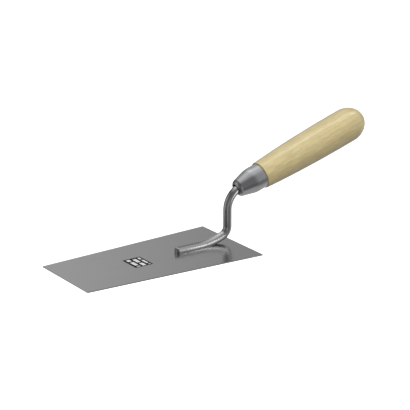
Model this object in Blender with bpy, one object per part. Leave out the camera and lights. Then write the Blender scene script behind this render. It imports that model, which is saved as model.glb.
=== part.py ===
"""A masonry trowel: flat steel blade, welded rod tang, drawn steel ferrule and turned beech handle.

World axes: +X runs along the blade from toe to heel, +Y across it, +Z up. The origin is the middle
of the blade's underside, so the trowel rests on z = 0. The handle's own axis lies in the y = 0
plane, and places along it are counted from the rim of the ferrule, towards the handle's end.
"""

import math

import bmesh
import bpy
from mathutils import Matrix, Vector

# Fits
CONTACT_GAP = 0.0003  # between pieces that touch
SPIKE_CLEARANCE = 0.0003  # radial, between the spike and the handle's bore
MOUTH_CLEARANCE = 0.0003  # between the ferrule's mouth and the inside of the rod's bend
SPIGOT_CLEARANCE = 0.0008  # radial, between the spigot's tapered front and the ferrule's cone

# Blade
BLADE_LENGTH = 0.180
BLADE_TOE_WIDTH = 0.078
BLADE_HEEL_WIDTH = 0.0965
BLADE_THICKNESS = 0.0010

# Tang: the rod, its foot on the blade, the neck and the crank into the handle
ROD_DIAMETER = 0.008
FOOT_HEIGHT = 0.0055
FOOT_TIP_INSET = 0.0637  # from the blade's heel edge to the foot's tip
FOOT_NOSE_EXTRA = 0.0010  # what the foot's blunt nose has beyond the rod's radius, seen from above
RISE_RADIUS = 0.080
RISE_ANGLE = math.radians(20.5)
NECK_INSET = 0.0057  # from the blade's heel edge to the neck's centreline
NECK_BEND_RADIUS = 0.009
CRANK_RADIUS = 0.0205

# Spike inside the handle
SPIKE_SHANK_LENGTH = 0.012  # full-diameter stretch behind the ferrule's rim
SPIKE_TAPER_LENGTH = 0.052
SPIKE_TIP_DIAMETER = 0.003

# Handle's axis
HANDLE_TILT = math.radians(17.6)  # above the blade
AXIS_HEIGHT = 0.0454  # above the blade, where the handle's axis meets the neck's

# Ferrule
NECK_TO_MOUTH = 0.0101  # from the neck's centreline to the mouth, along the handle's axis
FERRULE_LENGTH = 0.0284
FERRULE_DIAMETER = 0.024
FERRULE_WALL = 0.001
FERRULE_BAND_LENGTH = 0.0085  # cylindrical stretch next to the rim
SHOULDER_RADIUS = 0.020
MOUTH_ROUND_RADIUS = 0.0048
MOUTH_ROUND_ANGLE = math.radians(75)  # how far the wall has turned in at the mouth

# Handle
HANDLE_LENGTH = 0.1262  # from the ferrule's rim to the end
HANDLE_STEP = 0.0010  # the wood's front edge stands this proud of the ferrule
HANDLE_SWELL_DIAMETER = 0.033
HANDLE_DOME_LENGTH = 0.0196
HANDLE_SWELL_POWER = 2.3
HANDLE_EDGE_ROUNDING = 0.0010
SPIGOT_LENGTH = 0.015
BORE_END_ROOM = 0.002  # beyond the spike's tip

# Facets
TURNED_SEGMENTS = 40
ROD_SEGMENTS = 24
ARC_STEP = math.radians(9)
GRIP_STEPS = 12
DOME_STEPS = 10
SMOOTH_ANGLE = math.radians(35)  # edges flatter than this are shaded smooth

# Places worked out from the sizes above
BLADE_TOP = BLADE_THICKNESS
HEEL_X = BLADE_LENGTH / 2
NECK_X = HEEL_X - NECK_INSET
ROD_RADIUS = ROD_DIAMETER / 2
CRANK_SWEEP = math.pi / 2 - HANDLE_TILT
CRANK_TANGENT = CRANK_RADIUS * math.tan(CRANK_SWEEP / 2)  # from the crank's end to the neck line
FOOT_CENTRE_Z = BLADE_TOP + FOOT_HEIGHT - ROD_RADIUS
AXIS_DIRECTION = Vector((math.cos(HANDLE_TILT), 0, math.sin(HANDLE_TILT)))
AXIS_MEETS_NECK = Vector((NECK_X, 0, BLADE_TOP + AXIS_HEIGHT))
NECK_TO_RIM = NECK_TO_MOUTH + FERRULE_LENGTH
RIM_CENTRE = AXIS_MEETS_NECK + AXIS_DIRECTION * NECK_TO_RIM
SPIKE_TIP_AT = SPIKE_SHANK_LENGTH + SPIKE_TAPER_LENGTH
FERRULE_RADIUS = FERRULE_DIAMETER / 2
FERRULE_BORE_RADIUS = FERRULE_RADIUS - FERRULE_WALL
DOME_START = HANDLE_LENGTH - HANDLE_DOME_LENGTH


def clear_scene():
    """Remove every object that the file starts with."""
    for old in list(bpy.data.objects):
        bpy.data.objects.remove(old, do_unlink=True)


def make_material(name, colour, roughness, metallic):
    """A Principled material of one colour."""
    material = bpy.data.materials.new(name)
    material.use_nodes = True
    shader = material.node_tree.nodes["Principled BSDF"]
    shader.inputs["Base Color"].default_value = (*colour, 1.0)
    shader.inputs["Roughness"].default_value = roughness
    shader.inputs["Metallic"].default_value = metallic
    material.diffuse_color = (*colour, 1.0)
    return material


def make_object(name, bm, material, smooth_angle=None):
    """Turn a bmesh into a scene object, smooth across edges flatter than smooth_angle."""
    bmesh.ops.recalc_face_normals(bm, faces=bm.faces)
    mesh = bpy.data.meshes.new(name)
    bm.to_mesh(mesh)
    bm.free()
    mesh.materials.append(material)
    if smooth_angle is not None:
        mesh.shade_smooth()
        mesh.set_sharp_from_angle(angle=smooth_angle)
    obj = bpy.data.objects.new(name, mesh)
    bpy.context.scene.collection.objects.link(obj)
    return obj


def handle_matrix():
    """Stands a piece that was turned about Z on the handle's axis, with its zero at the rim."""
    return Matrix.Translation(RIM_CENTRE) @ Matrix.Rotation(math.pi / 2 - HANDLE_TILT, 4, "Y")


def arc_points(centre, radius, start, end):
    """Points on an arc in the (radius, height) plane, without the first one."""
    count = max(2, math.ceil(abs(end - start) / ARC_STEP))
    angles = [start + (end - start) * step / count for step in range(1, count + 1)]
    return [
        (centre[0] + radius * math.cos(angle), centre[1] + radius * math.sin(angle))
        for angle in angles
    ]


def turn(outline, closed):
    """Spin an outline of (radius, height) points about Z into a solid.

    A closed outline makes a ring. An open one starts and ends on the axis.
    """
    bm = bmesh.new()
    verts = [bm.verts.new((radius, 0, height)) for radius, height in outline]
    pairs = list(zip(verts, verts[1:]))
    if closed:
        pairs.append((verts[-1], verts[0]))
    edges = [bm.edges.new(pair) for pair in pairs]
    bmesh.ops.spin(
        bm,
        geom=verts + edges,
        axis=(0, 0, 1),
        cent=(0, 0, 0),
        angle=math.tau,
        steps=TURNED_SEGMENTS,
        use_merge=True,
    )
    bmesh.ops.remove_doubles(bm, verts=bm.verts, dist=1e-6)
    return bm


# Blade


def make_blade(material):
    """Flat sheet with straight sides that widen from toe to heel."""
    half_length = BLADE_LENGTH / 2
    half_toe = BLADE_TOE_WIDTH / 2
    half_heel = BLADE_HEEL_WIDTH / 2
    corners = [
        (-half_length, -half_toe),
        (half_length, -half_heel),
        (half_length, half_heel),
        (-half_length, half_toe),
    ]
    bm = bmesh.new()
    sheet = bm.faces.new([bm.verts.new((x, y, 0)) for x, y in corners])
    raised = bmesh.ops.extrude_face_region(bm, geom=[sheet], use_keep_orig=True)
    top = [item for item in raised["geom"] if isinstance(item, bmesh.types.BMVert)]
    bmesh.ops.translate(bm, verts=top, vec=(0, 0, BLADE_THICKNESS))
    return make_object("blade", bm, material)


# Tang


def straight(stations, length):
    """Carry the rod's centreline straight on."""
    x, z, angle = stations[-1]
    stations.append((x + length * math.cos(angle), z + length * math.sin(angle), angle))


def bend(stations, radius, sweep):
    """Carry the centreline round an arc; a positive sweep turns it upwards."""
    x, z, angle = stations[-1]
    side = math.copysign(1, sweep)
    centre_x = x - side * radius * math.sin(angle)
    centre_z = z + side * radius * math.cos(angle)
    count = max(2, math.ceil(abs(sweep) / ARC_STEP))
    for step in range(1, count + 1):
        turned = angle + sweep * step / count
        across = side * radius
        stations.append(
            (centre_x + across * math.sin(turned), centre_z - across * math.cos(turned), turned)
        )


def tang_centreline():
    """Stations (x, z, angle above +X) from the foot's tip to the start of the spike's taper."""
    rise_run = RISE_RADIUS * math.sin(RISE_ANGLE)
    bend_run = NECK_BEND_RADIUS * (1 - math.sin(RISE_ANGLE))
    foot_run = FOOT_TIP_INSET - NECK_INSET - rise_run - bend_run
    neck_foot_z = (
        FOOT_CENTRE_Z
        + RISE_RADIUS * (1 - math.cos(RISE_ANGLE))
        + NECK_BEND_RADIUS * math.cos(RISE_ANGLE)
    )
    neck_top_z = AXIS_MEETS_NECK.z - CRANK_TANGENT

    stations = [(HEEL_X - FOOT_TIP_INSET, FOOT_CENTRE_Z, 0.0)]
    straight(stations, foot_run)
    bend(stations, RISE_RADIUS, RISE_ANGLE)
    bend(stations, NECK_BEND_RADIUS, math.pi / 2 - RISE_ANGLE)
    straight(stations, neck_top_z - neck_foot_z)
    bend(stations, CRANK_RADIUS, -CRANK_SWEEP)
    straight(stations, NECK_TO_RIM - CRANK_TANGENT + SPIKE_SHANK_LENGTH)
    return stations


def rod_section(bm, station, radius):
    """One round section of the rod, square to its centreline. Returns its edges."""
    x, z, angle = station
    place = Matrix.Translation((x, 0, z)) @ Matrix.Rotation(math.pi / 2 - angle, 4, "Y")
    ring = bmesh.ops.create_circle(
        bm, cap_ends=False, segments=ROD_SEGMENTS, radius=radius, matrix=place
    )
    return list({edge for vert in ring["verts"] for edge in vert.link_edges})


def make_tang(material):
    """Round rod swept along the centreline, forged flat under the foot and pointed at the spike."""
    centreline = tang_centreline()
    sections = [(station, ROD_RADIUS) for station in centreline]
    straight(centreline, SPIKE_TAPER_LENGTH)
    sections.append((centreline[-1], SPIKE_TIP_DIAMETER / 2))

    bm = bmesh.new()
    rings = [rod_section(bm, station, radius) for station, radius in sections]
    for near, far in zip(rings, rings[1:]):
        bmesh.ops.bridge_loops(bm, edges=near + far)
    bmesh.ops.holes_fill(bm, edges=rings[0] + rings[-1], sides=0)
    tang = make_object("tang", bm, material, smooth_angle=SMOOTH_ANGLE)
    trim_foot(tang)
    return tang


def nose_outline(reach):
    """Plan of the space the tang may fill: a round nose, then sides that open out past the rod."""
    nose_x = HEEL_X - FOOT_TIP_INSET
    nose_radius = ROD_RADIUS + FOOT_NOSE_EXTRA
    centre = (nose_x + nose_radius, 0)
    past_rod = ROD_RADIUS + FOOT_NOSE_EXTRA / 2
    sweep = math.asin(past_rod / nose_radius)
    far_side = arc_points(centre, nose_radius, math.pi - sweep, math.pi)
    near_side = arc_points(centre, nose_radius, math.pi, math.pi + sweep)
    return [*far_side, *near_side, (nose_x + reach, -reach), (nose_x + reach, reach)]


def trim_foot(tang):
    """Keep what lies above the blade and behind the blunt nose."""
    reach = FOOT_TIP_INSET + AXIS_HEIGHT + NECK_TO_RIM + SPIKE_TIP_AT  # longer than the whole tang
    bm = bmesh.new()
    floor = BLADE_TOP + CONTACT_GAP
    plan = bm.faces.new([bm.verts.new((x, y, floor)) for x, y in nose_outline(reach)])
    raised = bmesh.ops.extrude_face_region(bm, geom=[plan], use_keep_orig=True)
    top = [item for item in raised["geom"] if isinstance(item, bmesh.types.BMVert)]
    bmesh.ops.translate(bm, verts=top, vec=(0, 0, reach))
    envelope = make_object("foot_envelope", bm, tang.data.materials[0])
    envelope.hide_render = True
    envelope.display_type = "WIRE"
    trim = tang.modifiers.new("flat underside and nose", "BOOLEAN")
    trim.operation = "INTERSECT"
    trim.solver = "EXACT"
    trim.object = envelope


# Ferrule


def mouth_radius():
    """Radius of the mouth's outer edge: clear of the rod's underside, which still bends there."""
    into_bend = max(0.0, CRANK_TANGENT - NECK_TO_MOUTH)
    inner_bend_radius = CRANK_RADIUS - ROD_RADIUS
    underside = CRANK_RADIUS - math.sqrt(inner_bend_radius**2 - into_bend**2)
    return underside + MOUTH_CLEARANCE


def ferrule_arcs():
    """Centres of the shoulder's and the mouth's arcs, and the slope of the cone that touches both."""
    shoulder = Vector((FERRULE_RADIUS - SHOULDER_RADIUS, -FERRULE_BAND_LENGTH))
    mouth = Vector(
        (
            mouth_radius() - MOUTH_ROUND_RADIUS * math.cos(MOUTH_ROUND_ANGLE),
            MOUTH_ROUND_RADIUS * math.sin(MOUTH_ROUND_ANGLE) - FERRULE_LENGTH,
        )
    )
    apart = mouth - shoulder
    steepness = math.atan2(-apart.y, apart.x)
    cone = steepness - math.acos((SHOULDER_RADIUS - MOUTH_ROUND_RADIUS) / apart.length)
    return shoulder, mouth, cone


def ferrule_outside():
    """Outer outline from the rim to the mouth, as (radius, place along the handle's axis)."""
    shoulder, mouth, cone = ferrule_arcs()
    rim = (FERRULE_RADIUS, 0)
    band_end = (FERRULE_RADIUS, -FERRULE_BAND_LENGTH)
    shoulder_arc = arc_points(shoulder, SHOULDER_RADIUS, 0, -cone)
    cone_end = (
        mouth.x + MOUTH_ROUND_RADIUS * math.cos(cone),
        mouth.y - MOUTH_ROUND_RADIUS * math.sin(cone),
    )
    mouth_arc = arc_points(mouth, MOUTH_ROUND_RADIUS, -cone, -MOUTH_ROUND_ANGLE)
    return [rim, band_end, *shoulder_arc, cone_end, *mouth_arc]


def offset_inwards(outline, distance):
    """The same outline moved square to itself, towards the axis."""
    moved = []
    for index, (radius, height) in enumerate(outline):
        before = outline[max(index - 1, 0)]
        after = outline[min(index + 1, len(outline) - 1)]
        along = Vector((after[0] - before[0], after[1] - before[1])).normalized()
        moved.append((radius + along.y * distance, height - along.x * distance))
    return moved


def make_ferrule(material):
    """Drawn cap: one wall of even thickness, open at the rim and at the mouth."""
    outside = ferrule_outside()
    inside = offset_inwards(outside, FERRULE_WALL)
    bm = turn(outside + inside[::-1], closed=True)
    ferrule = make_object("ferrule", bm, material, smooth_angle=SMOOTH_ANGLE)
    ferrule.matrix_world = handle_matrix()
    return ferrule


# Handle


def body_radius(place):
    """Radius of the grip: it swells fast behind the ferrule and then flattens out."""
    front = FERRULE_RADIUS + HANDLE_STEP
    swell = HANDLE_SWELL_DIAMETER / 2
    if place >= DOME_START:
        into_dome = (place - DOME_START) / HANDLE_DOME_LENGTH
        return swell * math.sqrt(max(0.0, 1 - into_dome**2))
    return swell - (swell - front) * (1 - place / DOME_START) ** HANDLE_SWELL_POWER


def grip_outline():
    """Outer outline from the shoulder behind the ferrule to the middle of the domed end."""
    edge = HANDLE_EDGE_ROUNDING
    grip_start = CONTACT_GAP + edge
    edge_centre = (body_radius(grip_start) - edge, grip_start)
    outline = [(edge_centre[0], CONTACT_GAP), *arc_points(edge_centre, edge, -math.pi / 2, 0)]
    for step in range(1, GRIP_STEPS + 1):
        place = grip_start + (DOME_START - grip_start) * step / GRIP_STEPS
        outline.append((body_radius(place), place))
    for step in range(1, DOME_STEPS):
        angle = math.pi / 2 * step / DOME_STEPS
        place = DOME_START + HANDLE_DOME_LENGTH * math.sin(angle)
        outline.append((body_radius(place), place))
    outline.append((0, HANDLE_LENGTH))
    return outline


def spigot_front_radius():
    """Radius of the spigot's front edge, which keeps clear of the inside of the ferrule's cone."""
    shoulder, _, cone = ferrule_arcs()
    inside_radius = SHOULDER_RADIUS - FERRULE_WALL
    below_shoulder = SPIGOT_LENGTH - FERRULE_BAND_LENGTH
    cone_radius = shoulder.x + inside_radius / math.cos(cone) - below_shoulder * math.tan(cone)
    return cone_radius - SPIGOT_CLEARANCE


def bore_outline():
    """Bore from its blind end on the axis out to the spigot's front face."""
    mouth_radius = ROD_RADIUS + SPIKE_CLEARANCE
    end_radius = SPIKE_TIP_DIAMETER / 2 + SPIKE_CLEARANCE
    return [
        (0, SPIKE_TIP_AT + BORE_END_ROOM),
        (end_radius, SPIKE_TIP_AT + BORE_END_ROOM),
        (end_radius, SPIKE_TIP_AT),
        (mouth_radius, SPIKE_SHANK_LENGTH),
        (mouth_radius, -SPIGOT_LENGTH),
    ]


def make_handle(material):
    """Turned beech: bore, spigot inside the ferrule, shoulder against its rim, grip and dome."""
    spigot_radius = FERRULE_BORE_RADIUS - CONTACT_GAP
    spigot = [
        (spigot_front_radius(), -SPIGOT_LENGTH),
        (spigot_radius, -FERRULE_BAND_LENGTH),
        (spigot_radius, CONTACT_GAP),
    ]
    bm = turn(bore_outline() + spigot + grip_outline(), closed=False)
    handle = make_object("handle", bm, material, smooth_angle=SMOOTH_ANGLE)
    handle.matrix_world = handle_matrix()
    return handle


def main():
    clear_scene()
    make_blade(make_material("ground blade steel", (0.33, 0.33, 0.33), 0.35, 1.0))
    make_tang(make_material("drawn rod steel", (0.30, 0.30, 0.31), 0.30, 1.0))
    make_ferrule(make_material("drawn ferrule steel", (0.36, 0.37, 0.38), 0.30, 1.0))
    make_handle(make_material("pale beech", (0.60, 0.47, 0.27), 0.45, 0.0))


main()
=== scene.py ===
"""Looks of a masonry trowel: steel blade, rod tang and ferrule, and a beech handle.

World axes are the frame's own: +X from the blade's toe to its heel and on along the handle, +Y
across the blade, +Z up, and z = 0 under the blade. Every length is in metres.
"""

import math

import bmesh
import bpy
import numpy as np
from mathutils import Matrix, Vector


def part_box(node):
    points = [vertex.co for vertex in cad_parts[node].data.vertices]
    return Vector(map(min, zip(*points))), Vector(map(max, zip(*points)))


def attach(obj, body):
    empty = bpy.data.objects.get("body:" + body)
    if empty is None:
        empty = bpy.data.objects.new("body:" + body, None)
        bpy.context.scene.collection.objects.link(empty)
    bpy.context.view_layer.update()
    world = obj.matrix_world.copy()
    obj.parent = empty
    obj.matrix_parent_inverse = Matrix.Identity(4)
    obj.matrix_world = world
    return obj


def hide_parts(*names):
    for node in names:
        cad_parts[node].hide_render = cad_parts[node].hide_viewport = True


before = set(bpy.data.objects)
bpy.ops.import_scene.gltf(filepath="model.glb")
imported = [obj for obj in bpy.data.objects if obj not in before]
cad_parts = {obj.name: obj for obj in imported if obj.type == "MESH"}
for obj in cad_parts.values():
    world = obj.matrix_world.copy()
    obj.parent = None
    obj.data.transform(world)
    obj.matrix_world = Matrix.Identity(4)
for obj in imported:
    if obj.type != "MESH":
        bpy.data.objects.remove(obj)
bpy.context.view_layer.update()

# Places and sizes that the frame gives
BLADE_LOW, BLADE_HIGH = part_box("blade")
TANG_LOW, TANG_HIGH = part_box("tang")
BLADE_TOP = BLADE_HIGH.z
HEEL_X = BLADE_HIGH.x
ROD_RADIUS = TANG_HIGH.y
FERRULE_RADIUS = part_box("ferrule")[1].y
SWELL_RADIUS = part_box("handle")[1].y

# Blade
BLADE_EDGE_ROUNDING = 0.00018
BLADE_CORNER_RADIUS = 0.0009
EDGE_BORDER = 0.0006  # narrow strip of faces beside each rounded edge

# Press ripples on the tang's rise: their pitch, and where they fade in and out, measured along
# the rod from the foot's nose
RIPPLE_LENGTH = 0.0028
RIPPLES_START = (0.012, 0.024)
RIPPLES_END = (0.050, 0.060)

# Printed mark on the blade's top face
MARK_CENTRE = (-0.0147, -0.0008)
MARK_HALF = (0.0093, 0.0114)
MARK_BORDER = 0.0016
COURSE_HEIGHT = 0.0060
BRICK_LENGTH = 0.0112
JOINT_WIDTH = 0.0023
INK_EDGE = 0.00012  # soft edge of each line
INK_RISE = (0.6, 0.7)  # shares of the blade's thickness between which the print sets in

# Tang
FOOT_HEIGHT = 0.0055
FOOT_SEAT = 0.00005  # the weld's film under the foot
FOOT_NOSE_RADIUS = ROD_RADIUS + 0.0010
FOOT_NOSE_ROUNDING = 0.0007
RISE_RADIUS = 0.080
RISE_ANGLE = math.radians(20.5)
STEEPEST_CUT = math.radians(80)  # keeps the seat's cut, and the slope in its sum, off upright
NECK_INSET = 0.0057
NECK_BEND_RADIUS = 0.009
CRANK_RADIUS = 0.0205
SPIKE_SHANK_LENGTH = 0.012
SPIKE_TAPER_LENGTH = 0.052
SPIKE_TIP_RADIUS = 0.0015

# Handle's axis, and the ferrule and handle turned about it
HANDLE_TILT = math.radians(17.6)
AXIS_HEIGHT = 0.0454
NECK_TO_MOUTH = 0.0101
FERRULE_LENGTH = 0.0284
FERRULE_WALL = 0.001
FERRULE_BAND_LENGTH = 0.0085
SHOULDER_RADIUS = 0.020
MOUTH_ROUND_RADIUS = 0.0048
MOUTH_ROUND_ANGLE = math.radians(75)
MOUTH_CLEARANCE = 0.0003
HANDLE_LENGTH = 0.1262
HANDLE_DOME_LENGTH = 0.0196
HANDLE_STEP = 0.0010
HANDLE_SWELL_POWER = 2.3
HANDLE_EDGE_ROUNDING = 0.0010
SPIGOT_LENGTH = 0.015
SPIGOT_FRONT_RADIUS = 0.0092
CONTACT_GAP = 0.0003
BORE_END_ROOM = 0.002
FERRULE_LIP_RADIUS = 0.0002

NECK_X = HEEL_X - NECK_INSET
FOOT_TIP_X = TANG_LOW.x
FOOT_CENTRE_Z = BLADE_TOP + FOOT_HEIGHT - ROD_RADIUS
CRANK_SWEEP = math.pi / 2 - HANDLE_TILT
CRANK_TANGENT = CRANK_RADIUS * math.tan(CRANK_SWEEP / 2)
AXIS_DIRECTION = Vector((math.cos(HANDLE_TILT), 0, math.sin(HANDLE_TILT)))
AXIS_MEETS_NECK = Vector((NECK_X, 0, BLADE_TOP + AXIS_HEIGHT))
NECK_TO_RIM = NECK_TO_MOUTH + FERRULE_LENGTH
RIM_CENTRE = AXIS_MEETS_NECK + AXIS_DIRECTION * NECK_TO_RIM
SPIKE_TIP_AT = SPIKE_SHANK_LENGTH + SPIKE_TAPER_LENGTH
DOME_START = HANDLE_LENGTH - HANDLE_DOME_LENGTH

# Fineness of the surfaces
BLADE_STEPS = 60
BLADE_FLAT_STEPS = 25
BLADE_SIDE_STEPS = 12
CORNER_STEPS = 7
STATION_DIGITS = 6  # stations along the blade are kept to a micrometre
TURNED_STEPS = 128
ROD_STEPS = 56
SEAT_STEPS = 12
NOSE_STEPS = 22
GRIP_STEPS = 110
DOME_STEPS = 40
ARC_STEP = math.radians(3)
STATION_STEP = 0.0008
MERGE_DISTANCE = 1e-7
SHORTEST_EDGE = 1e-8
SMOOTH_ANGLE = math.radians(40)

# Finishes: how far a height of 1 stands proud in each relief
GRINDING_DEPTH = 0.0000012
ROD_RELIEF = 0.00004
TURNING_DEPTH = 0.000002
GRAIN_DEPTH = 0.000018
# The toe's edge face gets a painted highlight where it looks ahead
TOE_HIGHLIGHT_FACING = (0.3, 0.7)  # how squarely a face looks ahead, where the bright toe edge sets in
PITH_OFFSET = (0, 0.021, 0.052)  # from the pith to the handle's axis
RING_TURN = 1500  # radians of the ring pattern in each metre from the pith

# View: angles in degrees, lens and sensor in millimetres, target and distance in metres
VIEW_AZIMUTH = -34.7
VIEW_ELEVATION = 18.25
VIEW_LENS = 149.4
VIEW_SENSOR = 36
VIEW_TARGET = (0.0310, -0.0406, 0.0572)
VIEW_DISTANCE = 1.5

# Room. Heights are the sine of a ray's elevation.
ROOM = 0.2  # brightness of the dim room all round
CEILING = 0.9  # added straight overhead
CEILING_RISE = (0.77, 1.0)  # heights between which the ceiling fades in
FLOOR_GLOW = 0.5  # added straight below
FLOOR_FALL = (-0.7, -0.5)  # heights between which the floor's glow fades out
DIFFUSE_SHARE = 0.75  # what diffuse rays get of the light; reflections get all of it
DIFFUSE_RISE = (-0.9, 0.3)  # heights between which that share grows from nothing
CARD_SOFTNESS = 0.2  # height by which a card's lower and upper edge fade to either side
CARD_FACING = (0.0, 0.2)  # cosines to a card's azimuth between which it fades in on its own side

# Each card: azimuth to the right of the view, angle to either side at which it has faded to
# 37%, lower edge and upper edge, all in degrees, and strength
LEFT_CARD = (-95, 20, -60, 35, 0.6)
RIGHT_CARD = (100, 30, -5, 60, 0.7)
OVERHEAD_CARD = (-30, 15, 40, 85, 1.4)
REAR_CARD = (40, 35, -35, -5, 1.2)
FAR_CARD = (-12, 15, 10, 35, 0.7)
NEAR_CARD = (175, 15, -30, 15, 0.4)

# Lamps: places and sizes in metres, powers in watts
KEY_PLACE = (-0.30, -1.05, 0.80)
KEY_SIZE = 1.0
KEY_POWER = 11.0
TOP_PLACE = (0.50, 0.0, 1.0)
TOP_SIZE = (0.14, 1.4)
TOP_POWER = 2.6
STRIP_PLACE = (0.176, -0.125, 0.026)
STRIP_TARGET = (0.085, 0.0, 0.005)
STRIP_SIZE = (0.095, 0.045)
STRIP_POWER = 0.027

FLOOR_HALF = 12.0
FLOOR_DROP = 0.00005


# Shader maths


class Value:
    """A shader socket. Python arithmetic on it adds Math nodes to its tree."""

    def __init__(self, tree, socket):
        self.tree = tree
        self.socket = socket

    def math(self, operation, *others):
        return self.tree.math(operation, self, *others)

    def __add__(self, other):
        return self.math("ADD", other)

    def __radd__(self, other):
        return self.math("ADD", other)

    def __sub__(self, other):
        return self.math("SUBTRACT", other)

    def __rsub__(self, other):
        return self.tree.math("SUBTRACT", other, self)

    def __mul__(self, other):
        return self.math("MULTIPLY", other)

    def __rmul__(self, other):
        return self.math("MULTIPLY", other)

    def __truediv__(self, other):
        return self.math("DIVIDE", other)


class Tree:
    """A node tree that is written as expressions."""

    def __init__(self, owner):
        owner.use_nodes = True
        self.nodes = owner.node_tree.nodes
        self.links = owner.node_tree.links
        self.nodes.clear()

    def node(self, kind, settings=None, inputs=None, output=0):
        """Add a node: its settings first, then the values or links of its sockets."""
        made = self.nodes.new(kind)
        for key, value in (settings or {}).items():
            setattr(made, key, value)
        for key, value in (inputs or {}).items():
            if isinstance(value, Value):
                self.links.new(value.socket, made.inputs[key])
            else:
                made.inputs[key].default_value = value
        return Value(self, made.outputs[output] if made.outputs else None)

    def math(self, operation, *values):
        return self.node("ShaderNodeMath", {"operation": operation}, dict(enumerate(values)))

    def step(self, value, low, high):
        """Smooth step: 0 below low, 1 above high, and a smooth rise between them."""
        return self.node(
            "ShaderNodeMapRange",
            {"interpolation_type": "SMOOTHSTEP"},
            {"Value": value, "From Min": low, "From Max": high},
        )

    def mix(self, factor, first, second):
        """Colour between first and second."""
        return self.node(
            "ShaderNodeMix", {"data_type": "RGBA"}, {0: factor, 6: first, 7: second}, output=2
        )

    def noise(self, vector, scale, detail, roughness):
        inputs = {"Vector": vector, "Scale": scale, "Detail": detail, "Roughness": roughness}
        return self.node("ShaderNodeTexNoise", None, inputs)

    def mapping(self, vector, location=(0, 0, 0), rotation=(0, 0, 0), scale=(1, 1, 1)):
        inputs = {"Vector": vector, "Location": location, "Rotation": rotation, "Scale": scale}
        return self.node("ShaderNodeMapping", None, inputs)

    def axis(self, vector, name):
        """One coordinate of a vector."""
        return self.node("ShaderNodeSeparateXYZ", None, {0: vector}, output="XYZ".index(name))

    def dot(self, vector, direction):
        settings = {"operation": "DOT_PRODUCT"}
        return self.node("ShaderNodeVectorMath", settings, {0: vector, 1: direction}, output=1)

    def object_place(self):
        return self.node("ShaderNodeTexCoord", output=3)

    def surface_place(self):
        """Metres along and round the piece, from its own UV map."""
        return self.node("ShaderNodeUVMap", {"uv_map": "along"})

    def bump(self, height, depth):
        """Normal of a surface on which a height of 1 stands depth metres proud."""
        inputs = {"Strength": 1.0, "Distance": depth, "Height": height}
        return self.node("ShaderNodeBump", None, inputs)

    def principled(self, inputs):
        shader = self.node("ShaderNodeBsdfPrincipled", None, inputs)
        self.node("ShaderNodeOutputMaterial", None, {"Surface": shader})


def grey(level):
    return (level, level, level, 1.0)


# Materials


def brick_mark(tree, place):
    """Masks of a plain printed mark, a panel of brick courses: (whole mark, its dark parts).

    The courses run across the blade, each one half a brick on from the last. Joints and border
    are dark, and a joint is the first part of each course or brick.
    """
    x = tree.axis(place, "X") - MARK_CENTRE[0]
    y = tree.axis(place, "Y") - MARK_CENTRE[1]
    ink_low, ink_high = (BLADE_TOP * share for share in INK_RISE)
    on_top = tree.step(tree.axis(place, "Z"), ink_low, ink_high)
    inset_x = MARK_HALF[0] - x.math("ABSOLUTE")
    inset_y = MARK_HALF[1] - y.math("ABSOLUTE")
    inset = tree.math("MINIMUM", inset_x, inset_y)
    whole = tree.step(inset, 0.0, INK_EDGE) * on_top
    border = 1 - tree.step(inset, MARK_BORDER, MARK_BORDER + INK_EDGE)
    course = x / COURSE_HEIGHT + 0.5
    brick = y / BRICK_LENGTH + course.math("FLOOR") * 0.5 + 0.25
    up_course = course.math("FRACT") * COURSE_HEIGHT
    along_brick = brick.math("FRACT") * BRICK_LENGTH
    bed_joint = 1 - tree.step(up_course, JOINT_WIDTH, JOINT_WIDTH + INK_EDGE)
    head_joint = 1 - tree.step(along_brick, JOINT_WIDTH, JOINT_WIDTH + INK_EDGE)
    joints = tree.math("MAXIMUM", bed_joint, head_joint)
    return whole, tree.math("MAXIMUM", joints, border)


def blade_steel():
    """Finely ground sheet: long grinding lines, faint clouds, a painted toe highlight, a printed
    mark.
    """
    material = bpy.data.materials.new("satin blade steel")
    tree = Tree(material)
    place = tree.object_place()
    fine_lines = tree.noise(tree.mapping(place, scale=(90, 5200, 400)), 1.0, 3.0, 0.6)
    broad_lines = tree.noise(tree.mapping(place, scale=(12, 700, 60)), 1.0, 3.0, 0.55)
    clouds = tree.noise(place, 28.0, 4.0, 0.6)
    facing = tree.node("ShaderNodeNewGeometry", output=1)
    # Faces that look ahead at the toe get a painted highlight: their steel is mixed to near white.
    toe_highlight = tree.step(tree.axis(facing, "X") * -1.0, *TOE_HIGHLIGHT_FACING)
    whole, dark = brick_mark(tree, place)
    steel = tree.mix(broad_lines, (0.43, 0.43, 0.431, 1), (0.50, 0.499, 0.497, 1))
    steel = tree.mix(clouds * 0.25, steel, (0.52, 0.515, 0.505, 1))
    steel = tree.mix(toe_highlight, steel, (0.95, 0.95, 0.94, 1))
    ink = tree.mix(dark, (1.0, 1.0, 0.99, 1), (0.006, 0.006, 0.007, 1))
    roughness = 0.145 + fine_lines * 0.06 + clouds * 0.05
    height = fine_lines * (1 - whole) + whole * 2.0
    tree.principled(
        {
            "Base Color": tree.mix(whole, steel, ink),
            "Metallic": 1 - whole,
            "Roughness": roughness + whole * 0.35,
            "Specular IOR Level": 0.12,
            "Normal": tree.bump(height, GRINDING_DEPTH),
        }
    )
    return material


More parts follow.
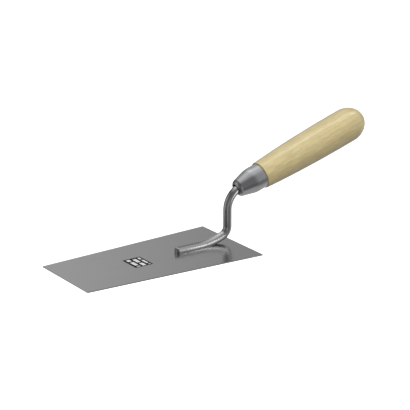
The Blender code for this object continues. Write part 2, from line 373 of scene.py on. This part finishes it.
def rod_steel():
    """Drawn and polished rod: lines along it, small pits, and press ripples where it rises."""
    material = bpy.data.materials.new("polished rod steel")
    tree = Tree(material)
    along = tree.surface_place()
    place = tree.object_place()
    lines = tree.noise(tree.mapping(along, scale=(60, 4200, 1)), 1.0, 3.0, 0.6)
    broad = tree.noise(tree.mapping(along, scale=(25, 500, 1)), 1.0, 2.0, 0.5)
    scale_marks = tree.noise(place, 420.0, 5.0, 0.65)
    pits = tree.step(scale_marks, 0.60, 0.72)
    steel = tree.mix(broad, (0.42, 0.42, 0.422, 1), (0.53, 0.53, 0.53, 1))
    steel = tree.mix(pits * 0.35, steel, (0.18, 0.178, 0.175, 1))
    run = tree.axis(along, "X")
    round_it = tree.axis(along, "Y")
    slanted = run + round_it * 0.55
    wave = (slanted * (math.tau / RIPPLE_LENGTH) + broad * 2.0).math("SINE")
    rippled = tree.step(run, *RIPPLES_START) * (1 - tree.step(run, *RIPPLES_END))
    height = lines * 0.045 + broad * 0.03 - pits * 0.04 + wave * rippled * 0.2
    tree.principled(
        {
            "Base Color": steel,
            "Metallic": 1.0,
            "Roughness": 0.15 + lines * 0.07 + pits * 0.12,
            "Normal": tree.bump(height, ROD_RELIEF),
        }
    )
    return material


def ferrule_steel():
    """Drawn cap: faint turning lines round it and drawing lines towards its mouth."""
    material = bpy.data.materials.new("satin ferrule steel")
    tree = Tree(material)
    along = tree.surface_place()
    place = tree.object_place()
    turning = tree.noise(tree.mapping(along, scale=(5200, 30, 1)), 1.0, 3.0, 0.6)
    drawing = tree.noise(tree.mapping(along, scale=(40, 900, 1)), 1.0, 3.0, 0.55)
    clouds = tree.noise(place, 130.0, 3.0, 0.6)
    steel = tree.mix(drawing, (0.40, 0.406, 0.415, 1), (0.48, 0.487, 0.497, 1))
    tree.principled(
        {
            "Base Color": steel,
            "Metallic": 1.0,
            "Roughness": 0.18 + turning * 0.07 + clouds * 0.06,
            "Normal": tree.bump(turning * 0.6 + drawing * 0.4, TURNING_DEPTH),
        }
    )
    return material


def beech():
    """Pale steamed beech under thin satin varnish: rings, streaks and short brown flecks."""
    material = bpy.data.materials.new("varnished beech")
    tree = Tree(material)
    place = tree.object_place()
    turn = Matrix.Rotation(HANDLE_TILT, 3, "Y")
    grain = tree.mapping(place, tuple(-(turn @ RIM_CENTRE)), (0, HANDLE_TILT, 0))
    drift = tree.noise(tree.mapping(grain, scale=(9, 38, 38)), 1.0, 3.0, 0.55)
    pith = tree.mapping(grain, location=PITH_OFFSET, scale=(0.06, 1, 1))
    from_pith = tree.node("ShaderNodeVectorMath", {"operation": "LENGTH"}, {0: pith}, output=1)
    rings = (from_pith * RING_TURN + drift * 9.0).math("SINE") * 0.5 + 0.5
    streaks = tree.noise(tree.mapping(grain, scale=(60, 520, 520)), 1.0, 4.0, 0.6)
    fibres = tree.noise(tree.mapping(grain, scale=(150, 4200, 4200)), 1.0, 3.0, 0.6)
    rays = tree.noise(tree.mapping(grain, scale=(380, 2300, 2300)), 1.0, 1.0, 0.5)
    flecks = tree.step(rays, 0.63, 0.70)
    patches = tree.noise(tree.mapping(grain, scale=(55, 150, 150)), 1.0, 4.0, 0.6)
    wood = tree.mix(rings * 0.35, (0.76, 0.640, 0.335, 1), (0.65, 0.525, 0.255, 1))
    wood = tree.mix(tree.step(streaks, 0.42, 0.62) * 0.55, wood, (0.61, 0.475, 0.220, 1))
    wood = tree.mix(tree.step(patches, 0.45, 0.62) * 0.5, wood, (0.60, 0.495, 0.250, 1))
    wood = tree.mix(flecks * 0.45, wood, (0.42, 0.31, 0.14, 1))
    height = fibres * 0.5 + streaks * 0.3 - flecks * 0.6
    tree.principled(
        {
            "Base Color": wood,
            "Roughness": 0.42 + fibres * 0.12 + flecks * 0.1,
            "Coat Weight": 0.6,
            "Coat Roughness": 0.17,
            "Normal": tree.bump(height, GRAIN_DEPTH),
        }
    )
    return material


# Surfaces


def grid_quads(rows, columns, wrap_rows):
    """Row numbers and column numbers of the four corners of every face of a grid.

    Columns wrap round, and so do rows if wrap_rows is set. There, a number one past the last
    stands for the first.
    """
    row = np.arange(rows if wrap_rows else rows - 1)[:, None]
    column = np.arange(columns)[None, :]
    steps = [(0, 0), (1, 0), (1, 1), (0, 1)]
    corner_rows = np.stack([row + down + 0 * column for down, _ in steps], axis=-1)
    corner_columns = np.stack([column + across + 0 * row for _, across in steps], axis=-1)
    return corner_rows, corner_columns


def running_length(points, axis):
    """Metres from the first row or column: the sum of the longest gap in each step."""
    gaps = np.linalg.norm(np.diff(points, axis=axis), axis=2)
    return np.concatenate([[0.0], np.cumsum(gaps.max(axis=1 - axis))])


def make_piece(node, points, material, wrap_rows=False):
    """Turn a grid of points into a closed mesh that stands for a CAD node.

    Row numbers grow along the piece and column numbers round it. Where a whole row meets in one
    point or folds flat into one line, the surface closes. The UV map "along" holds the metres
    along the piece and round it.
    """
    rows, columns = points.shape[:2]
    corner_rows, corner_columns = grid_quads(rows, columns, wrap_rows)
    quads = (corner_rows % rows) * columns + corner_columns % columns
    wrapped = np.concatenate([points, points[:1]]) if wrap_rows else points
    wrapped = np.concatenate([wrapped, wrapped[:, :1]], axis=1)
    along = running_length(wrapped, 0)[corner_rows]
    around = running_length(wrapped, 1)[corner_columns]

    mesh = bpy.data.meshes.new(node + "_finished")
    mesh.from_pydata(points.reshape(-1, 3).tolist(), [], quads.reshape(-1, 4).tolist())
    uv = np.stack([along, around], axis=-1).astype(np.float32)
    mesh.uv_layers.new(name="along").data.foreach_set("uv", uv.ravel())
    close_and_smooth(mesh)
    mesh.materials.append(material)
    piece = bpy.data.objects.new(node + "_finished", mesh)
    bpy.context.scene.collection.objects.link(piece)
    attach(piece, "root")
    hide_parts(node)
    return piece


def close_and_smooth(mesh):
    """Merge the seams and poles, point every face outwards and shade the rounds smooth."""
    bm = bmesh.new()
    bm.from_mesh(mesh)
    bmesh.ops.remove_doubles(bm, verts=bm.verts, dist=MERGE_DISTANCE)
    bmesh.ops.dissolve_degenerate(bm, edges=bm.edges, dist=SHORTEST_EDGE)
    bmesh.ops.recalc_face_normals(bm, faces=bm.faces)
    bm.to_mesh(mesh)
    bm.free()
    mesh.shade_smooth()
    mesh.set_sharp_from_angle(angle=SMOOTH_ANGLE)


def drawn_back(distance, radius):
    """How far a quarter-round edge has drawn back, at a distance from the face it ends on.

    It is the radius less the root of (its square less the square of what is left of it there).
    """
    left = np.clip(radius - distance, 0, radius)
    return radius - np.sqrt(radius**2 - left**2)


def toe_half_width():
    """Half the blade's width at its toe, read from the CAD node."""
    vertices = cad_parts["blade"].data.vertices
    places = np.empty(len(vertices) * 3)
    vertices.foreach_get("co", places)
    places = places.reshape(-1, 3)
    return places[places[:, 0] < BLADE_LOW.x + BLADE_CORNER_RADIUS, 1].max()


def blade_stations():
    """Distances from the toe, close together where the ends and the corners are rounded.

    They are radius * (1 - cosine) of even angles through each rounding, then a border, then even
    steps to the same places at the heel.
    """
    turn = np.linspace(0, math.pi / 2, CORNER_STEPS)
    ends = [radius * (1 - np.cos(turn)) for radius in (BLADE_EDGE_ROUNDING, BLADE_CORNER_RADIUS)]
    toe = np.concatenate([*ends, [BLADE_CORNER_RADIUS + EDGE_BORDER]])
    toe = np.unique(np.round(toe, STATION_DIGITS))
    length = HEEL_X - BLADE_LOW.x
    middle = np.linspace(toe[-1], length - toe[-1], BLADE_STEPS)
    return np.concatenate([toe[:-1], middle, length - toe[:-1][::-1]])


def blade_section():
    """Loop round the blade: share of the half width, and the direction that the face looks in.

    Flats look straight up or down, and a half turn of directions carries the loop round each
    side. The border lines stand close to the sides, so that the flats shade flat.
    """
    border = 1 - EDGE_BORDER / BLADE_HIGH.y
    flat = np.concatenate([[-1], np.linspace(-border, border, BLADE_FLAT_STEPS), [1]])
    side = np.linspace(math.pi / 2, -math.pi / 2, BLADE_SIDE_STEPS)[1:-1]
    ones = np.ones(len(side))
    share = np.concatenate([flat, ones, flat[::-1], -ones])
    up = np.full(len(flat), math.pi / 2)
    direction = np.concatenate([up, side, -up, math.pi - side[::-1]])
    return share, direction


def blade_surface():
    """A long rectangle with rounded corners, carried from toe to heel.

    The half width runs straight from toe to heel, less a circular draw-back near each end that
    rounds the blade's corners. The half height draws back the same way at the very ends, and the
    first and last rows fold flat on the middle plane, which closes the ends.
    """
    edge = BLADE_EDGE_ROUNDING
    from_toe = blade_stations()
    length = from_toe[-1]
    from_end = np.minimum(from_toe, length - from_toe)
    half_width = np.interp(from_toe, [0, length], [toe_half_width(), BLADE_HIGH.y])
    half_width -= drawn_back(from_end, BLADE_CORNER_RADIUS)
    half_height = BLADE_TOP / 2 - drawn_back(from_end, edge)
    from_toe = np.concatenate([from_toe[:1], from_toe, from_toe[-1:]])
    half_width = np.concatenate([half_width[:1], half_width, half_width[-1:]])
    half_height = np.concatenate([[0], half_height, [0]])
    inner_height = np.maximum(half_height - edge, 0)[:, None]

    share, direction = blade_section()
    y = share * (half_width - edge)[:, None] + edge * np.cos(direction)
    z = np.sign(np.sin(direction)) * inner_height
    z = z + np.sin(direction) * np.minimum(half_height, edge)[:, None]
    x = np.broadcast_to((BLADE_LOW.x + from_toe)[:, None], y.shape)
    return np.stack([x, y, z + BLADE_TOP / 2], axis=-1)


def run_on(stations, length):
    """Carry the rod's centreline straight on, as rows of (x, z, slope).

    x grows by the length times the slope's cosine, and z by the length times its sine.
    """
    x, z, slope = stations[-1]
    along = np.linspace(0, length, max(3, round(length / STATION_STEP)))[1:]
    line_x = x + along * math.cos(slope)
    line_z = z + along * math.sin(slope)
    return np.concatenate([stations, np.stack([line_x, line_z, 0 * along + slope], 1)])


def bend_on(stations, radius, sweep):
    """Carry the centreline round an arc of circle; a positive sweep turns it upwards.

    x moves by the radius times the change in the slope's sine, and z by the radius times the
    change in its cosine.
    """
    x, z, slope = stations[-1]
    across = math.copysign(radius, sweep)
    count = max(3, round(radius * abs(sweep) / STATION_STEP), math.ceil(abs(sweep) / ARC_STEP))
    turned = slope + np.linspace(0, sweep, count)[1:]
    arc_x = x + across * (np.sin(turned) - math.sin(slope))
    arc_z = z - across * (np.cos(turned) - math.cos(slope))
    return np.concatenate([stations, np.stack([arc_x, arc_z, turned], 1)])


def rod_stations():
    """Rows of (x, z, slope) down the rod, from the foot's nose to the tip of the spike."""
    rise_run = RISE_RADIUS * math.sin(RISE_ANGLE)
    bend_run = NECK_BEND_RADIUS * (1 - math.sin(RISE_ANGLE))
    rise_height = RISE_RADIUS * (1 - math.cos(RISE_ANGLE))
    neck_foot_z = FOOT_CENTRE_Z + rise_height + NECK_BEND_RADIUS * math.cos(RISE_ANGLE)
    neck_top_z = AXIS_MEETS_NECK.z - CRANK_TANGENT
    nose = FOOT_NOSE_RADIUS * (1 - np.cos(np.linspace(0, math.pi / 2, NOSE_STEPS)))
    rise_start = NECK_X - bend_run - rise_run

    stations = np.stack([FOOT_TIP_X + nose, 0 * nose + FOOT_CENTRE_Z, 0 * nose], axis=1)
    stations = run_on(stations, rise_start - stations[-1, 0])
    stations = bend_on(stations, RISE_RADIUS, RISE_ANGLE)
    stations = bend_on(stations, NECK_BEND_RADIUS, math.pi / 2 - RISE_ANGLE)
    stations = run_on(stations, neck_top_z - neck_foot_z)
    stations = bend_on(stations, CRANK_RADIUS, -CRANK_SWEEP)
    stations = run_on(stations, NECK_TO_RIM - CRANK_TANGENT + SPIKE_SHANK_LENGTH)
    return run_on(stations, SPIKE_TAPER_LENGTH)


def tang_surface():
    """A round section carried along the rod's centreline, with a flat underside under the foot.

    Where the section would dip under the foot's seat, its lower part is a straight line on the
    seat instead, so that the foot is half round. At the nose the section narrows as a circle seen
    from above, and its top draws back as a smaller one. Along the spike the radius falls evenly.
    """
    x, z, slope = rod_stations().T
    seat = BLADE_TOP + FOOT_SEAT
    from_nose = x - x[0]
    taper_start = RIM_CENTRE + AXIS_DIRECTION * SPIKE_SHANK_LENGTH
    into_taper = (x - taper_start.x) / (SPIKE_TAPER_LENGTH * AXIS_DIRECTION.x)
    radius = ROD_RADIUS + (SPIKE_TIP_RADIUS - ROD_RADIUS) * np.clip(into_taper, 0, 1)

    above_seat = (z - seat) / np.cos(np.minimum(slope, STEEPEST_CUT))
    cut = np.arcsin(np.clip(above_seat / radius, 0, math.sin(STEEPEST_CUT)))[:, None]
    upper = np.linspace(0, 1, ROD_STEPS)
    lower = np.linspace(0, 1, SEAT_STEPS + 2)[1:-1]
    upper_angle = -cut + (math.pi + 2 * cut) * upper
    lower_angle = math.pi + cut + (math.pi - 2 * cut) * lower
    angle = np.concatenate([upper_angle, lower_angle], axis=1)

    left = np.maximum(0, FOOT_NOSE_RADIUS - from_nose)
    half_nose = np.sqrt(np.maximum(0, FOOT_NOSE_RADIUS**2 - left**2))
    narrowing = np.minimum(1, half_nose / ROD_RADIUS)[:, None]
    y = np.cos(angle) * radius[:, None] * narrowing
    off_axis = np.sin(angle) * radius[:, None]
    lowering = drawn_back(from_nose, FOOT_NOSE_ROUNDING)[:, None]
    off_axis = off_axis - lowering * np.clip(np.sin(angle), 0, 1)
    grid_x = x[:, None] - off_axis * np.sin(slope)[:, None]
    grid_z = np.maximum(z[:, None] + off_axis * np.cos(slope)[:, None], seat)
    points = np.stack([grid_x, y, grid_z], axis=-1)
    tip = np.broadcast_to(points[-1].mean(axis=0), points[-1].shape)
    return np.concatenate([points, tip[None]])


def arc(centre, radius, start, end):
    """Points on a circle in the (radius, place) plane: centre + radius * (cosine, sine)."""
    count = max(4, math.ceil(abs(end - start) / ARC_STEP) + 1)
    angle = np.linspace(start, end, count)
    out = centre[0] + radius * np.cos(angle)
    place = centre[1] + radius * np.sin(angle)
    return np.stack([out, place], axis=1)


def turned_surface(outline):
    """An outline of (radius, place) points turned about the handle's axis.

    A point is the centre of the ferrule's rim, plus the place along the axis, plus the radius
    along a spoke that turns evenly round it.
    """
    angle = np.linspace(0, math.tau, TURNED_STEPS, endpoint=False)
    forward = np.array(AXIS_DIRECTION)
    sideways = np.array((0.0, 1.0, 0.0))
    upwards = np.cross(forward, sideways)
    spokes = np.cos(angle)[:, None] * upwards + np.sin(angle)[:, None] * sideways
    centres = np.array(RIM_CENTRE) + outline[:, 1, None] * forward
    return centres[:, None, :] + outline[:, 0, None, None] * spokes[None]


def mouth_radius():
    """Radius of the mouth's outer edge, just clear of the rod, which is still in its bend there.

    Seen from the side, the rod's underside is a circle about the bend's centre. Its distance
    from the handle's axis is the bend's radius less the root of (the circle's radius squared
    less the square of how far the mouth lies into the bend). The clearance is added to it.
    """
    into_bend = CRANK_TANGENT - NECK_TO_MOUTH
    inner_bend = CRANK_RADIUS - ROD_RADIUS
    return CRANK_RADIUS - math.sqrt(inner_bend**2 - into_bend**2) + MOUTH_CLEARANCE


def ferrule_outline():
    """Wall of even thickness: band, shoulder arc, cone and mouth arc, and back along the inside.

    The cone is the common tangent of the shoulder's circle and the mouth's, so its slope follows
    from their centres: the steepness of the line between them less the angle whose cosine is the
    difference of the radii over the distance. The inside is the same arcs with smaller radii.
    """
    shoulder = np.array((FERRULE_RADIUS - SHOULDER_RADIUS, -FERRULE_BAND_LENGTH))
    mouth = np.array(
        (
            mouth_radius() - MOUTH_ROUND_RADIUS * math.cos(MOUTH_ROUND_ANGLE),
            MOUTH_ROUND_RADIUS * math.sin(MOUTH_ROUND_ANGLE) - FERRULE_LENGTH,
        )
    )
    apart = mouth - shoulder
    tangent = math.acos((SHOULDER_RADIUS - MOUTH_ROUND_RADIUS) / np.linalg.norm(apart))
    cone = math.atan2(-apart[1], apart[0]) - tangent
    lip = FERRULE_LIP_RADIUS
    outside = [
        arc((FERRULE_RADIUS - lip, -lip), lip, math.pi / 2, 0),
        arc(shoulder, SHOULDER_RADIUS, 0, -cone),
        arc(mouth, MOUTH_ROUND_RADIUS, -cone, -MOUTH_ROUND_ANGLE),
    ]
    inside = [
        arc(mouth, MOUTH_ROUND_RADIUS - FERRULE_WALL, -MOUTH_ROUND_ANGLE, -cone),
        arc(shoulder, SHOULDER_RADIUS - FERRULE_WALL, -cone, 0),
        np.array([(FERRULE_RADIUS - FERRULE_WALL, 0)]),
    ]
    return np.concatenate(outside + inside)


def body_radius(place):
    """Radius of the grip: swell - (swell - front) * (1 - place / dome start) ** power."""
    front = FERRULE_RADIUS + HANDLE_STEP
    left = 1 - np.minimum(place, DOME_START) / DOME_START
    return SWELL_RADIUS - (SWELL_RADIUS - front) * left**HANDLE_SWELL_POWER


def handle_outline():
    """Bore from its blind end, spigot, shoulder with a rounded edge, grip and domed end.

    The grip's radius is body_radius, and the dome is half an ellipse.
    """
    bore = [
        (0, SPIKE_TIP_AT + BORE_END_ROOM),
        (SPIKE_TIP_RADIUS + CONTACT_GAP, SPIKE_TIP_AT + BORE_END_ROOM),
        (SPIKE_TIP_RADIUS + CONTACT_GAP, SPIKE_TIP_AT),
        (ROD_RADIUS + CONTACT_GAP, SPIKE_SHANK_LENGTH),
        (ROD_RADIUS + CONTACT_GAP, -SPIGOT_LENGTH),
    ]
    spigot_radius = FERRULE_RADIUS - FERRULE_WALL - CONTACT_GAP
    spigot = [
        (SPIGOT_FRONT_RADIUS, -SPIGOT_LENGTH),
        (spigot_radius, -FERRULE_BAND_LENGTH),
        (spigot_radius, CONTACT_GAP),
    ]
    edge = HANDLE_EDGE_ROUNDING
    grip_start = CONTACT_GAP + edge
    edge_arc = arc((body_radius(grip_start) - edge, grip_start), edge, -math.pi / 2, 0)
    grip_place = np.linspace(grip_start, DOME_START, GRIP_STEPS)[1:]
    grip = np.stack([body_radius(grip_place), grip_place], axis=1)
    turn = np.linspace(0, math.pi / 2, DOME_STEPS)[1:]
    dome_radius = SWELL_RADIUS * np.cos(turn)
    dome_radius[-1] = 0
    dome = np.stack([dome_radius, DOME_START + HANDLE_DOME_LENGTH * np.sin(turn)], axis=1)
    return np.concatenate([bore, spigot, edge_arc, grip, dome])


# Studio


def to_world(azimuth, elevation=0.0):
    """Direction at an azimuth to the right of the view and an elevation, both in degrees."""
    turn = math.radians(azimuth - VIEW_AZIMUTH)
    rise = math.radians(elevation)
    level = math.cos(rise)
    return Vector((math.sin(turn) * level, math.cos(turn) * level, math.sin(rise)))


def add_camera():
    """Long lens that looks down on the trowel from its toe's side."""
    azimuth = math.radians(VIEW_AZIMUTH)
    elevation = math.radians(VIEW_ELEVATION)
    right = Vector((math.cos(azimuth), math.sin(azimuth), 0))
    back = Vector(
        (
            math.sin(azimuth) * math.cos(elevation),
            -math.cos(azimuth) * math.cos(elevation),
            math.sin(elevation),
        )
    )
    lens = bpy.data.cameras.new("long lens")
    lens.sensor_width = VIEW_SENSOR
    lens.lens = VIEW_LENS
    camera = bpy.data.objects.new("camera", lens)
    bpy.context.scene.collection.objects.link(camera)
    turn = Matrix((right, back.cross(right), back)).transposed()
    place = Vector(VIEW_TARGET) + back * VIEW_DISTANCE
    camera.matrix_world = Matrix.Translation(place) @ turn.to_4x4()
    bpy.context.scene.camera = camera


def card(tree, ray, azimuth, width, low, high):
    """How bright a soft upright card is along a ray: a bell across it, a smooth band up it."""
    across = tree.dot(ray, tuple(to_world(azimuth + 90))) / math.sin(math.radians(width))
    bell = (across * across * -1.0).math("EXPONENT")
    facing = tree.step(tree.dot(ray, tuple(to_world(azimuth))), *CARD_FACING)
    height = tree.axis(ray, "Z")
    low_edge, high_edge = (math.sin(math.radians(angle)) for angle in (low, high))
    above = tree.step(height, low_edge - CARD_SOFTNESS, low_edge + CARD_SOFTNESS)
    below = 1 - tree.step(height, high_edge - CARD_SOFTNESS, high_edge + CARD_SOFTNESS)
    return bell * facing * above * below


def add_light():
    """A dim room with a brighter ceiling, a floor glow and six soft upright cards.

    The camera sees plain white behind the trowel, and diffuse rays get less light than
    reflections do.
    """
    world = bpy.data.worlds.new("studio")
    bpy.context.scene.world = world
    tree = Tree(world)
    ray = tree.node("ShaderNodeTexCoord", output=0)
    height = tree.axis(ray, "Z")
    light = ROOM + tree.step(height, *CEILING_RISE) * CEILING
    light = light + (1 - tree.step(height, *FLOOR_FALL)) * FLOOR_GLOW
    cards = (LEFT_CARD, RIGHT_CARD, OVERHEAD_CARD, REAR_CARD, FAR_CARD, NEAR_CARD)
    for azimuth, width, low, high, strength in cards:
        light = light + card(tree, ray, azimuth, width, low, high) * strength
    seen = tree.node("ShaderNodeLightPath", output=0)
    diffuse = tree.node("ShaderNodeLightPath", output=2)
    diffuse_gets = DIFFUSE_SHARE * tree.step(height, *DIFFUSE_RISE)
    light = light * (1 - diffuse * (1 - diffuse_gets))
    shown = seen + (1 - seen) * light
    background = tree.node("ShaderNodeBackground", None, {"Strength": shown})
    tree.node("ShaderNodeOutputWorld", None, {"Surface": background})


def add_lamp(name, place, target, size, power, lit=()):
    """Rectangular soft lamp at a place, turned towards a target.

    It lights only the pieces in lit, or everything if none are given.
    """
    lamp = bpy.data.lights.new(name, "AREA")
    lamp.shape = "RECTANGLE"
    lamp.size, lamp.size_y = size
    lamp.energy = power
    holder = bpy.data.objects.new(name, lamp)
    bpy.context.scene.collection.objects.link(holder)
    turn = (target - place).to_track_quat("-Z", "Y").to_matrix()
    holder.matrix_world = Matrix.Translation(place) @ turn.to_4x4()
    holder.visible_camera = False
    if lit:
        group = bpy.data.collections.new("lit by the " + name)
        for piece in lit:
            group.objects.link(piece)
        holder.light_linking.receiver_collection = group
    return holder


def add_lamps(blade, tang, handle):
    """A broad soft key in front, a box overhead for the wood alone, and a low strip.

    The key adds no reflections. The strip adds nothing but reflections, in the blade and tang.
    """
    key = add_lamp("soft key", Vector(KEY_PLACE), RIM_CENTRE, (KEY_SIZE, KEY_SIZE), KEY_POWER)
    key.visible_glossy = False
    add_lamp("top box", Vector(TOP_PLACE), RIM_CENTRE, TOP_SIZE, TOP_POWER, [handle])
    place = Vector(STRIP_PLACE)
    target = Vector(STRIP_TARGET)
    strip = add_lamp("low strip", place, target, STRIP_SIZE, STRIP_POWER, [blade, tang])
    strip.visible_diffuse = False


def add_floor():
    """Plain square of white floor just under the blade, so bright that it shows no shadow."""
    mesh = bpy.data.meshes.new("floor")
    signs = [(-1, -1), (1, -1), (1, 1), (-1, 1)]
    corners = [(x * FLOOR_HALF, y * FLOOR_HALF, -FLOOR_DROP) for x, y in signs]
    mesh.from_pydata(corners, [], [(0, 1, 2, 3)])
    material = bpy.data.materials.new("white floor")
    tree = Tree(material)
    tree.principled(
        {
            "Base Color": grey(0.8),
            "Roughness": 0.9,
            "Emission Color": grey(1.0),
            "Emission Strength": 1.0,
        }
    )
    mesh.materials.append(material)
    floor = bpy.data.objects.new("floor", mesh)
    bpy.context.scene.collection.objects.link(floor)
    floor.visible_glossy = False
    floor.visible_diffuse = False


def main():
    """Make the four pieces, then the floor, the light and the camera."""
    blade = make_piece("blade", blade_surface(), blade_steel())
    tang = make_piece("tang", tang_surface(), rod_steel())
    cap = turned_surface(ferrule_outline())
    make_piece("ferrule", cap, ferrule_steel(), wrap_rows=True)
    grip = turned_surface(handle_outline())
    handle = make_piece("handle", grip, beech())
    add_floor()
    add_light()
    add_lamps(blade, tang, handle)
    add_camera()
    bpy.context.scene.view_settings.view_transform = "Standard"


main()
